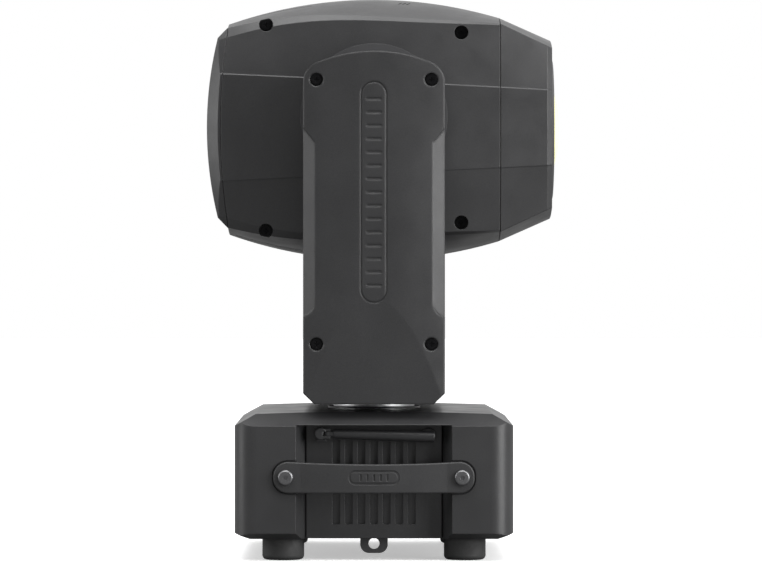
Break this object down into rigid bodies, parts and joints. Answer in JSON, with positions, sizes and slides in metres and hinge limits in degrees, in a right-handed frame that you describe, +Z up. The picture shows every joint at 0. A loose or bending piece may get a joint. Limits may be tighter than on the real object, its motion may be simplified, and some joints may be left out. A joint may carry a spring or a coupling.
{
  "type": "moving head light",
  "caption": "Moving head stage light: boxy base with carrying handles, a panning two-arm yoke and a tilting barrel head with a round front lens.",
  "frame": {"origin": "on the floor under the pan axis, level with the undersides of the rubber feet", "axes": "+X the way the beam points at rest, +Y towards the far yoke arm (the near side, with the folding antenna, is -Y), +Z up along the pan axis"},
  "size_m": [0.326, 0.3578, 0.5143],
  "materials": {
    "moulded_shell": "fine satin texture, dark grey",
    "black_plastic": "moulded, black",
    "handle_plastic": "moulded, dark grey",
    "black_steel": "powder coat, black",
    "black_screw": "blackened",
    "rubber": "matt",
    "polished_ring": "polished",
    "turned_aluminium": "turned",
    "hub_casting": "satin, dark grey",
    "bright_steel": "ground",
    "motor_case": "black with steel ends",
    "lens_glass": "clear, lit pale yellow",
    "display_glass": "dark, glossy",
    "board": "circuit board",
    "socket_body": "moulded, black",
    "wheel_sheet": "blackened sheet"
  },
  "bodies": {
    "base": {"base_cover": "moulded_shell", "base_plate": "black_steel", "side_grille_near": "moulded_shell", "side_grille_far": "moulded_shell", "handle_near": "handle_plastic", "handle_far": "handle_plastic", "handle_bolts": "black_screw", "rubber_feet": "rubber", "safety_eye": "black_steel", "display_panel": "moulded_shell", "display_window": "display_glass", "control_board": "board", "connector_panel": "moulded_shell", "power_sockets": "socket_body", "data_sockets": "socket_body", "power_supply": "black_steel", "pan_bearing": "black_steel", "pan_motor": "motor_case", "pan_belt": "rubber", "antenna_socket": "bright_steel"},
    "menu_button": {"button_menu": "black_plastic"},
    "up_button": {"button_up": "black_plastic"},
    "enter_button": {"button_enter": "black_plastic"},
    "down_button": {"button_down": "black_plastic"},
    "pan_pinion": {"pan_motor_pulley": "turned_aluminium"},
    "antenna_swivel": {"antenna_knuckle": "black_plastic"},
    "antenna_arm": {"antenna_whip": "black_plastic"},
    "yoke": {"pan_spindle": "turned_aluminium", "yoke_collar": "polished_ring", "yoke_crossbeam": "turned_aluminium", "yoke_cover": "moulded_shell", "arm_cover_near": "moulded_shell", "arm_cover_far": "moulded_shell", "arm_plate_near": "black_steel", "arm_plate_far": "black_steel", "arm_screws": "black_screw", "tilt_bearings": "bright_steel", "tilt_motor": "motor_case", "tilt_belt": "rubber"},
    "tilt_pinion": {"tilt_motor_pulley": "turned_aluminium"},
    "head": {"tilt_hubs": "hub_casting", "tilt_pulley": "turned_aluminium", "side_shell_near": "moulded_shell", "side_shell_far": "moulded_shell", "shell_screws": "black_screw", "rear_cover": "moulded_shell", "front_bezel": "moulded_shell", "lens_ring": "hub_casting", "front_lens": "lens_glass", "head_frame": "black_steel", "lamp_module": "board", "heat_sink": "turned_aluminium", "head_fan_frame": "black_plastic", "wheel_motors": "motor_case", "guide_rods": "bright_steel"},
    "fan_rotor": {"head_fan_rotor": "black_plastic"},
    "colour_disc": {"colour_wheel": "wheel_sheet"},
    "gobo_disc": {"gobo_wheel": "wheel_sheet"},
    "focus_slide": {"focus_carriage": "turned_aluminium"}
  },
  "joints": [
    {"name": "pan", "type": "hinge", "parent": "base", "child": "yoke", "pos_m": [0, 0, 0.1415], "axis": [0, 0, 1], "range_deg": [-270, 270]},
    {"name": "tilt", "type": "hinge", "parent": "yoke", "child": "head", "pos_m": [0, 0, 0.393], "axis": [0, -1, 0], "range_deg": [-45, 225]},
    {"name": "pan_motor_spin", "type": "hinge", "parent": "base", "child": "pan_pinion", "pos_m": [0, 0.095, 0.09], "axis": [0, 0, 1], "range_deg": [-1200, 1200]},
    {"name": "tilt_motor_spin", "type": "hinge", "parent": "yoke", "child": "tilt_pinion", "pos_m": [0, 0.151, 0.25], "axis": [0, -1, 0], "range_deg": [-175, 865]},
    {"name": "antenna_swing", "type": "hinge", "parent": "base", "child": "antenna_swivel", "pos_m": [-0.048, -0.16, 0.115], "axis": [0, 1, 0], "range_deg": [0, 88]},
    {"name": "antenna_fold", "type": "hinge", "parent": "antenna_swivel", "child": "antenna_arm", "pos_m": [-0.042, -0.16, 0.115], "axis": [0, 0, -1], "range_deg": [0, 90]},
    {"name": "fan_spin", "type": "hinge", "parent": "head", "child": "fan_rotor", "pos_m": [-0.122, 0, 0.393], "axis": [1, 0, 0], "continuous": true},
    {"name": "colour_spin", "type": "hinge", "parent": "head", "child": "colour_disc", "pos_m": [-0.0232, 0, 0.351], "axis": [1, 0, 0], "continuous": true},
    {"name": "gobo_spin", "type": "hinge", "parent": "head", "child": "gobo_disc", "pos_m": [0.0068, 0, 0.435], "axis": [1, 0, 0], "continuous": true},
    {"name": "focus_travel", "type": "slide", "parent": "head", "child": "focus_slide", "axis": [1, 0, 0], "range_m": [-0.03, 0.04]},
    {"name": "menu_press", "type": "slide", "parent": "base", "child": "menu_button", "axis": [-1, 0, 0], "range_m": [0, 0.0012], "stiffness_N_per_m": 600, "springref_m": -0.001},
    {"name": "up_press", "type": "slide", "parent": "base", "child": "up_button", "axis": [-1, 0, 0], "range_m": [0, 0.0012], "stiffness_N_per_m": 600, "springref_m": -0.001},
    {"name": "enter_press", "type": "slide", "parent": "base", "child": "enter_button", "axis": [-1, 0, 0], "range_m": [0, 0.0012], "stiffness_N_per_m": 600, "springref_m": -0.001},
    {"name": "down_press", "type": "slide", "parent": "base", "child": "down_button", "axis": [-1, 0, 0], "range_m": [0, 0.0012], "stiffness_N_per_m": 600, "springref_m": -0.001}
  ],
  "couplings": [
    {"joint": "pan_motor_spin", "follows": "pan", "ratio": 4.4286},
    {"joint": "tilt_motor_spin", "follows": "tilt", "ratio": 3.8333}
  ]
}
